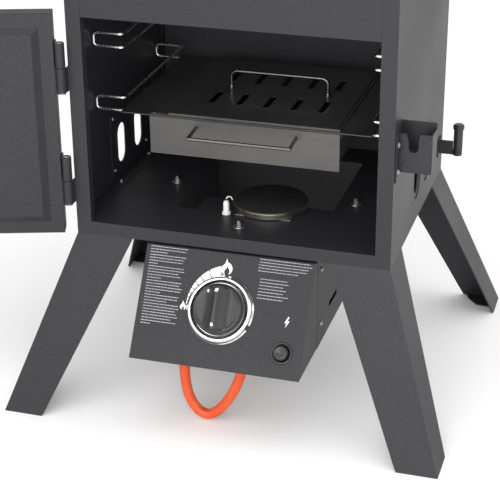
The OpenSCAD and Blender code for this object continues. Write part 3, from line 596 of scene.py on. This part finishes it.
def lid_wire_handle():
    """A bail held by a nut under the lid and a turned collar above it at each leg."""
    shape = Shape()
    left, right = HANDLE_X
    low = LID_Z - HANDLE_DROP
    high = LID_Z + HANDLE_RISE
    path = [cab(left, HANDLE_Y, low), cab(left, HANDLE_Y, high), cab(right, HANDLE_Y, high),
            cab(right, HANDLE_Y, low)]
    shape.tube(rounded(path, 0.008, 8), HANDLE_R * MM, 16)
    for x in HANDLE_X:
        shape.place = Matrix.Translation(cab(x, HANDLE_Y, LID_Z))
        shape.prism(hexagon(NUT_R), -4 * MM, 0)
        shape.lathe(scaled([(2.3, 1.2), (4.4, 1.2), (4.5, 1.8), (4.2, 2.4), (3.3, 2.8), (3.3, 4.6),
                            (2.9, 5.2), (2.3, 5.2)]), 24)
    obj = shape.object("lid_bail_handle", DARK_WIRE, "lid", replaces=["lid_handle"])
    soften(obj, 0.0002, 40)


lid_wire_handle()


# ---- Burner ring with its rows of ports ----

PORT_COLUMNS = 60
PORT_ROWS = 3
PORT_WIDE = 0.32
PORT_HIGH = 0.4
PORT_DEPTH = 0.0012
RING_RIM = 0.0007
CELL_EDGE = [(1, 0), (1, 1), (0, 1), (-1, 1), (-1, 0), (-1, -1), (0, -1), (1, -1)]


def burner_ring():
    """A band of cells, each with a sunk eight-sided port whose bottom is painted near black as painted shade,
    and a thin brass line on top.
    """
    lo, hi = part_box("burner_base")
    centre = (lo + hi) / 2
    radius = (hi.x - lo.x) / 2
    height = hi.z - lo.z
    shape = Shape(Matrix.Translation((centre.x, centre.y, lo.z)))
    band = (height - 2 * RING_RIM) / PORT_ROWS

    def on(u, v, r=radius):
        a = 2 * math.pi * u / PORT_COLUMNS
        return (r * math.cos(a), r * math.sin(a), v)

    for i in range(PORT_COLUMNS):
        for j in range(PORT_ROWS):
            middle = i + 0.5 * (j % 2) + 0.5
            verts, inner, deep = [], [], []
            for k, (dx, dy) in enumerate(CELL_EDGE):
                verts.append(on(middle + 0.5 * dx, RING_RIM + (j + 0.5 + 0.5 * dy) * band))
                a = math.pi * k / 4
                u = middle + PORT_WIDE * math.cos(a)
                v = RING_RIM + (j + 0.5 + PORT_HIGH * math.sin(a)) * band
                inner.append(on(u, v))
                deep.append(on(u, v, radius - PORT_DEPTH))
            faces = [[k, (k + 1) % 8, 8 + (k + 1) % 8, 8 + k] for k in range(8)]
            faces += [[8 + k, 8 + (k + 1) % 8, 16 + (k + 1) % 8, 16 + k] for k in range(8)]
            faces.append([16 + k for k in range(8)])
            shape.add(verts + inner + deep, faces)
    n = PORT_COLUMNS * 2
    for low, high in ((0, RING_RIM), (height - RING_RIM, height)):
        verts = [on(k / 2, v) for v in (low, high) for k in range(n)]
        shape.add(verts, [[k, (k + 1) % n, n + (k + 1) % n, n + k] for k in range(n)])
    for v, inner_r in ((0, 0.0), (height, radius - 0.002)):
        verts = [on(k / 2, v) for k in range(n)]
        if inner_r:
            verts += [on(k / 2, v, inner_r) for k in range(n)]
            shape.add(verts, [[k, (k + 1) % n, n + (k + 1) % n, n + k] for k in range(n)])
        else:
            shape.add(verts, [list(range(n))])
    ring = shape.object("burner_port_ring", M["zinc_steel"], "cabinet", False,
                        replaces=["burner_base"])
    # The eight-sided port bottoms get the near-black material: painted shade standing in for the dark inside
    # the holes.
    ring.data.materials.append(PAINTED_PORT_SHADE)
    for polygon in ring.data.polygons:
        if len(polygon.vertices) == len(CELL_EDGE):
            polygon.material_index = 1
    line = Shape(Matrix.Translation((centre.x, centre.y, hi.z)))
    line.lathe([(radius - 0.002, -0.0006), (radius + 0.0006, -0.0009), (radius + 0.0009, -0.0005),
                (radius + 0.0006, -0.0001), (radius - 0.002, -0.00005)], 120)
    line.object("burner_brass_rim", M["brass"], "cabinet")


burner_ring()


# ---- Sloping panel: knob, bezel, button and printed signs ----

SLOPE = math.radians(56.5)
PANEL_L = 143.0
PANEL_X = 94.0
PANEL_TOP_Y = -2.5
PANEL_TOP_Z = -2.4
PANEL_BOTTOM = cab(PANEL_X, PANEL_TOP_Y - PANEL_L * math.cos(SLOPE), PANEL_TOP_Z - PANEL_L * math.sin(SLOPE))
PANEL = Matrix((
    (1, 0, 0, PANEL_BOTTOM.x),
    (0, math.cos(SLOPE), -math.sin(SLOPE), PANEL_BOTTOM.y),
    (0, math.sin(SLOPE), math.cos(SLOPE), PANEL_BOTTOM.z),
    (0, 0, 0, 1)))
KNOB_AT = (106.0, 73.0)
BUTTON_AT = (190.0, 31.0)


def panel_place(u, v, w=0.0):
    """A matrix on the panel: u across, v up the slope, w out of it, in millimetres."""
    return PANEL @ Matrix.Translation((u * MM, v * MM, w * MM))


def bezel():
    shape = Shape(panel_place(*KNOB_AT))
    shape.lathe(scaled([
        (7, 0), (43, 0), (43, 0.9), (42.6, 1.6), (41.6, 2.4), (40.4, 4.6), (39.2, 6.3), (38.0, 6.9),
        (36.6, 6.9), (35.6, 6.4), (34.9, 5.4), (34.4, 4.0), (34.1, 3.1), (32.5, 3.0), (7, 3.0)]), 128)
    shape.object("knob_bezel_ring", M["chrome_trim"], "cabinet", replaces=["knob_bezel"])


def knob():
    """A turned knob with a raised grip across it, as a polar height field over a lathe skirt."""
    lo_r = 32.0
    top_r = 28.4
    base = 3.6
    deck = 16.0
    grip = 27.4
    wall = 14.0
    shape = Shape(panel_place(*KNOB_AT))
    shape.lathe(scaled([(4, -5), (4, base), (31.2, base), (31.8, base + 0.5), (lo_r, base + 1.6),
                        (31.2, deck - 4), (30.6, deck - 2.2), (29.7, deck - 0.8), (top_r, deck)]), 128)
    shape.faces.pop()
    sides, rings = 128, 40

    def height(x, y, r):
        half = 1.6 + 1.4 * (y / top_r) ** 2
        across = max(0.0, min(1.0, (half + wall - abs(x)) / wall))
        rise = across ** 1.7
        end = max(0.0, min(1.0, (top_r - 0.4 - r) / 2.2))
        end = end * end * (3 - 2 * end)
        scoop = 1.2 * (1 - rise) * math.exp(-((abs(x) - 18) / 7) ** 2) * end
        crown = 1.2 * (y / top_r) ** 2
        return deck - scoop + (grip - crown - deck) * rise * end

    verts = []
    for i in range(rings + 1):
        r = top_r * i / rings
        for k in range(sides):
            a = 2 * math.pi * k / sides
            x, y = r * math.cos(a), r * math.sin(a)
            verts.append((x * MM, y * MM, height(x, y, r) * MM))
    faces = []
    for i in range(rings):
        for k in range(sides):
            n = (k + 1) % sides
            faces.append([i * sides + k, i * sides + n, (i + 1) * sides + n, (i + 1) * sides + k])
    shape.add(verts, faces)
    shape.object("gas_knob_grip", M["black_plastic"], "gas_knob", replaces=["control_knob"])

    def mark(name, outline, w):
        sign = Shape(panel_place(*KNOB_AT, w))
        sign.prism(scaled(outline), -0.5 * MM, 0.15 * MM)
        sign.object(name, WHITE_PRINT, "gas_knob", False)

    dot = [(-13 + 1.9 * math.cos(k * math.pi / 12), 20 + 1.9 * math.sin(k * math.pi / 12)) for k in range(24)]
    mark("knob_dot", dot, height(-13, 20, 23.9))
    mark("knob_pointer", [(-3.2, 19.5), (-1.6, 23.2), (2.2, 23.2), (0.4, 19.2)], height(0, 21, 21))
    mark("knob_tail", [(-1.4, -22.6), (1.6, -22.6), (0.6, -18.8), (-2.0, -18.8)], height(0, -21, 21))


def button():
    shape = Shape(panel_place(*BUTTON_AT))
    shape.lathe(scaled([(0, -34), (11, -34), (11, -0.1), (12.9, 0), (13.4, 0.5), (13.4, 1.3), (12.8, 1.9),
                        (11.6, 2.0), (10.6, 1.5), (9.9, 0.8), (9.6, 0), (9.6, -8), (0, -8)]), 72)
    shape.object("igniter_collar", M["black_plastic"], "cabinet", replaces=["igniter_body"])
    cap = Shape(panel_place(*BUTTON_AT))
    cap.lathe(scaled([(0, -2), (9.2, -2), (9.2, 5.8), (8.9, 7.0), (8.1, 8.2), (6.9, 8.8), (5.4, 8.7),
                      (4.2, 8.2), (2.8, 7.8), (0, 7.7)]), 72)
    cap.object("igniter_button_cap", M["black_plastic"], "spark_button",
               replaces=["igniter_button"])


def printed(name, outlines, mat=WHITE_PRINT):
    """Flat signs on the panel, each an outline in panel millimetres."""
    shape = Shape(PANEL)
    for outline in outlines:
        shape.prism(scaled(outline), -0.05 * MM, 0.12 * MM)
    shape.object(name, mat, "cabinet", False)


def spline_loop(points, steps=5):
    """A closed smooth outline through points; a point with a third value is a sharp corner."""
    n = len(points)
    out = []
    for i in range(n):
        p0, p1, p2, p3 = (Vector(points[(i + k - 1) % n][:2]) for k in range(4))
        if len(points[i]) > 2:
            p0 = p1
        if len(points[(i + 1) % n]) > 2:
            p3 = p2
        for k in range(steps):
            t = k / steps
            out.append(tuple(0.5 * (2 * p1 + (p2 - p0) * t + (2 * p0 - 5 * p1 + 4 * p2 - p3) * t * t
                                    + (3 * p1 - p0 - 3 * p2 + p3) * t ** 3)))
    return out


def signs():
    """A high and a low flame joined by a scale that thins out, and a spark."""
    flame = [(104.8, 137.0, 1), (106.3, 132.6), (111.0, 129.6), (113.4, 124.4), (112.2, 119.6),
             (108.9, 117.0, 1), (110.2, 120.6), (108.4, 124.6), (106.2, 127.8, 1), (105.6, 124.4),
             (103.6, 121.6), (103.9, 118.2), (105.2, 116.2, 1), (101.6, 117.8), (99.6, 121.6),
             (100.0, 126.0), (103.4, 130.6)]
    printed("high_flame_sign", [spline_loop(flame)])
    small = [(57.6, 78.6, 1), (59.2, 75.4), (61.8, 72.4), (61.6, 69.0), (60.0, 67.2, 1), (60.2, 69.8),
             (58.6, 71.8, 1), (57.2, 69.6), (57.6, 67.4, 1), (55.0, 69.0), (54.9, 72.2), (56.8, 75.0)]
    printed("low_flame_sign", [spline_loop(small, 4)])
    cells = []
    marks = [0, 0.22, 0.4, 0.54, 0.66, 0.76, 0.85, 0.93, 1]

    def edge(t, outer):
        a = math.radians(97 + 81 * t)
        r = 43.4 + (1.0 + 9.6 * (1 - t) ** 1.5 if outer else 0)
        return KNOB_AT[0] + r * math.cos(a), KNOB_AT[1] + r * math.sin(a)

    for t0, t1 in zip(marks, marks[1:]):
        a, b = t0 + 0.008, t1 - 0.008
        steps = [a + (b - a) * k / 4 for k in range(5)]
        cells.append([edge(t, True) for t in steps] + [edge(t, False) for t in reversed(steps)])
    printed("flame_scale", cells)
    bolt = [(191.6, 75.4), (187.9, 67.6), (190.6, 67.9), (189.4, 62.0), (194.0, 70.6), (191.0, 70.2),
            (193.4, 75.4)]
    printed("spark_sign", [bolt])


DASH_HIGH = 0.95
DASH_GAP = 0.6


def dash_rows(name, u0, widths, v0, pitch, seed, lean=0.0):
    """Rows of short plain dashes that stand for small print."""
    rng = random.Random(seed)
    rows = []
    v = v0
    for width in widths:
        u = u0 + lean * (v0 - v)
        end = u + width
        while u < end - 0.8:
            step = min(rng.uniform(1.2, 4.6), end - u)
            rows.append([(u, v), (u + step, v), (u + step, v + DASH_HIGH), (u, v + DASH_HIGH)])
            u += step + DASH_GAP
        v -= pitch
    printed(name, rows, GREY_PRINT)


bezel()
knob()
button()
signs()
LEFT_WIDTHS = [48, 46, 22, 47, 45, 44, 12, 46, 47, 40, 44, 18, 46, 43, 47, 45, 20, 44, 43, 30, 45, 47, 42, 44,
               46, 38, 45, 12]
dash_rows("small_print_left", 5.5, LEFT_WIDTHS, 140.5, 3.55, 11, 0.02)
dash_rows("small_print_right", 146, [64, 66, 62, 60, 50], 140.5, 3.6, 5, -0.03)
dash_rows("small_print_right_lower", 150, [34, 36, 30, 34, 31, 38, 32], 116.5, 3.9, 7, -0.03)


# ---- Screws and studs ----

CROSS = [(-0.35, -1.7), (0.35, -1.7), (0.35, -0.35), (1.7, -0.35), (1.7, 0.35), (0.35, 0.35), (0.35, 1.7),
         (-0.35, 1.7), (-0.35, 0.35), (-1.7, 0.35), (-1.7, -0.35), (-0.35, -0.35)]


def screw_head(shape, turn=0.3):
    """A pan head of 3.6 mm radius and 2 mm height with a sunk cross, in millimetres."""
    spin = Matrix.Rotation(turn, 4, "Z")
    sides = 24
    rim_r, rim_h = 2.6, 1.72
    shape.lathe(scaled([(1.5, -2.0), (1.5, 0), (3.55, 0), (3.6, 0.5), (3.4, 1.1), (rim_r, rim_h)]), sides)
    shape.faces.pop()
    rim = [2 * math.pi * k / sides for k in range(sides)]
    verts = [(rim_r * math.cos(a) * MM, rim_r * math.sin(a) * MM, rim_h * MM) for a in rim]
    top = [spin @ Vector((x * MM, y * MM, 1.95 * MM)) for x, y in CROSS]
    deep = [spin @ Vector((x * MM * 0.8, y * MM * 0.8, 0.9 * MM)) for x, y in CROSS]
    n = len(CROSS)
    faces = [[sides + k, sides + (k + 1) % n, sides + n + (k + 1) % n, sides + n + k] for k in range(n)]
    faces.append([sides + n + k for k in range(n)])
    for k in range(sides):
        near = nearest(top, verts[k])
        near_next = nearest(top, verts[(k + 1) % sides])
        faces.append([k, (k + 1) % sides, sides + near])
        while near != near_next:
            step = (near + 1) % n
            faces.append([(k + 1) % sides, sides + step, sides + near])
            near = step
    shape.add(verts + top + deep, faces)


def nearest(points, v):
    """The index of the point whose direction from the centre is closest to that of v."""
    angle = math.atan2(v[1], v[0])

    def off(i):
        return abs(math.remainder(math.atan2(points[i][1], points[i][0]) - angle, 2 * math.pi))

    return min(range(len(points)), key=off)


def screws():
    rng = random.Random(3)
    shape = Shape()

    def put(x, y, z, normal):
        up = (0, 0, 1) if abs(normal[2]) < 0.5 else (0, 1, 0)
        shape.place = facing(cab(x, y, z), normal, up)
        screw_head(shape, rng.uniform(0, 1.5))

    for x in (9, BODY_W - 9):
        for y in (129, 234):
            put(x, y, 18.2, (0, 0, 1))
    for y in (126, 243):
        for z in (34, 106):
            put(2.4, y, z, (1, 0, 0))
            put(BODY_W - 2.4, y, z, (-1, 0, 0))
    for z0 in (150, 597):
        for dz in (-28, 5):
            put(BODY_W + 2, 13, z0 + dz, (1, 0, 0))
    for z in (-22, -96):
        put(94, 24, z, (-1, 0, 0))
        put(310, 24, z, (1, 0, 0))
    obj = shape.object("case_screw_heads", M["zinc_steel"], "cabinet", False,
                       replaces=["case_screws"])
    soften(obj, 0.00008, 40, 1)


THREAD_PITCH = 0.8
STUDS_AT = ((80, 151), (201, 35), (324, 142))


def studs():
    """Threaded studs with a washer and a nut above the floor and a second nut below it."""
    shape = Shape()
    for x, y in STUDS_AT:
        shape.place = Matrix.Translation(cab(x, y, 17))
        shape.lathe(scaled([(2.7, 0), (7, 0), (7, 0.9), (6.5, 1.4), (4.9, 1.5), (2.7, 1.5)]), 40)
        shape.prism(hexagon(NUT_R, 0.3), 1.5 * MM, 6 * MM)
        shape.prism(hexagon(NUT_R * 1.05, 0.3), -6.4 * MM, -2.4 * MM)
        thread = [(0, -12)]
        h = -12
        while h < 8.4:
            thread += [(2.4, h), (2.8, h + THREAD_PITCH / 2)]
            h += THREAD_PITCH
        shape.lathe(scaled(thread + [(2.3, 8.8), (0, 9)]), 24)
    obj = shape.object("console_studs", M["zinc_steel"], "cabinet", False,
                       replaces=["floor_studs"])
    soften(obj, 0.0002, 50, 1)


screws()
studs()


# ---- Thermometer scale on the upper door, drawn closed and turned open with it ----

HINGE = (-6.6, -7.0)
DOOR_TURN = math.radians(-162)
DIAL_AT = (200, -28, 716)


def door_place(x, y, z):
    """A matrix for a point given with the door closed: local Z out of the door, local Y up."""
    pivot = cab(HINGE[0], HINGE[1], 0)
    swing = Matrix.Translation(pivot) @ Matrix.Rotation(DOOR_TURN, 4, "Z") @ Matrix.Translation(-pivot)
    return swing @ facing(cab(x, y, z), (0, -1, 0))


def thermometer_scale():
    """Ticks, every fifth one long, and a red band outside them."""
    face = door_place(*DIAL_AT)
    ticks = Shape(face)
    for i in range(31):
        a = math.radians(225 - i * 9)
        long = i % 5 == 0
        spin = Matrix.Rotation(a - math.pi / 2, 4, "Z")
        w, r0 = (0.5, 21.5) if long else (0.25, 23.6)
        ticks.prism(scaled([(-w, r0), (w, r0), (w, 26.6), (-w, 26.6)]), 0, 0.12 * MM, spin)
    ticks.object("thermometer_ticks", BLACK_MARK, "upper_door", False)
    zone = Shape(face)
    for i in range(18):
        a0, a1 = math.radians(110 - i * 5), math.radians(105 - i * 5)
        zone.prism([(r * MM * math.cos(a), r * MM * math.sin(a)) for r, a in
                    ((27.2, a0), (28.6, a0), (28.6, a1), (27.2, a1))], 0, 0.1 * MM)
    zone.object("thermometer_band", RED_MARK, "upper_door", False)


thermometer_scale()


# ---- Weld beads ----

def weld_beads():
    """Beads between the wire guides' studs and the walls."""
    shape = Shape()
    rng = random.Random(8)
    for z in LOWER_LEVELS + UPPER_LEVELS:
        for x, side in ((SHEET, 1), (BODY_W - SHEET, -1)):
            for y in GUIDE_Y:
                shape.place = facing(cab(x, y, z + WIRE_RISE / 2), (side, 0, 0))
                r = rng.uniform(2.3, 3.1)
                shape.lathe(scaled([(0, -0.2), (r, 0), (r * 0.8, 0.7), (r * 0.5, 1.1), (0, 1.2)]), 14)
    shape.object("guide_weld_beads", M["charcoal_enamel"], "cabinet")


weld_beads()


# ---- Floor and light ----

def stage():
    mesh = bpy.data.meshes.new("pale_floor")
    half = 9
    corners = [(-half, -half, 0), (half, -half, 0), (half, half, 0), (-half, half, 0)]
    mesh.from_pydata(corners, [], [(0, 1, 2, 3)])
    floor = bpy.data.objects.new("pale_floor", mesh)
    bpy.context.scene.collection.objects.link(floor)
    mat, bsdf = new_mat("pale_floor", 0.9)
    soft = noise(mat, 3, 2)
    pale = ramp(mat, soft, [(0.3, grey(0.93)), (0.7, grey(0.95))])
    mat.node_tree.links.new(pale, bsdf.inputs["Base Color"])
    mesh.materials.append(mat)


def area(name, place, target, size, power):
    """A square lamp at place, in metres, turned to target."""
    data = bpy.data.lights.new(name, "AREA")
    data.energy = power
    data.shape = "SQUARE"
    data.size = size
    obj = bpy.data.objects.new(name, data)
    bpy.context.scene.collection.objects.link(obj)
    obj.location = place
    obj.rotation_euler = (Vector(target) - Vector(place)).to_track_quat("-Z", "Y").to_euler()


def lights():
    world = bpy.data.worlds.new("studio")
    world.use_nodes = True
    world.node_tree.nodes["Background"].inputs["Color"].default_value = (1, 1, 1, 1)
    world.node_tree.nodes["Background"].inputs["Strength"].default_value = 1.0
    bpy.context.scene.world = world
    area("key", (-1.5, -2.6, 2.2), (0, 0, 0.4), 2.6, 26)
    area("front", (0.5, -3.0, 0.95), (0, 0.1, 0.25), 2.2, 56)
    area("side", (2.8, -0.4, 1.5), (0.2, 0, 0.4), 1.4, 11)
    area("top", (0.1, -0.4, 3.2), (0, 0, 0.3), 2.2, 16)


stage()
lights()
bpy.context.scene.view_settings.view_transform = "Standard"
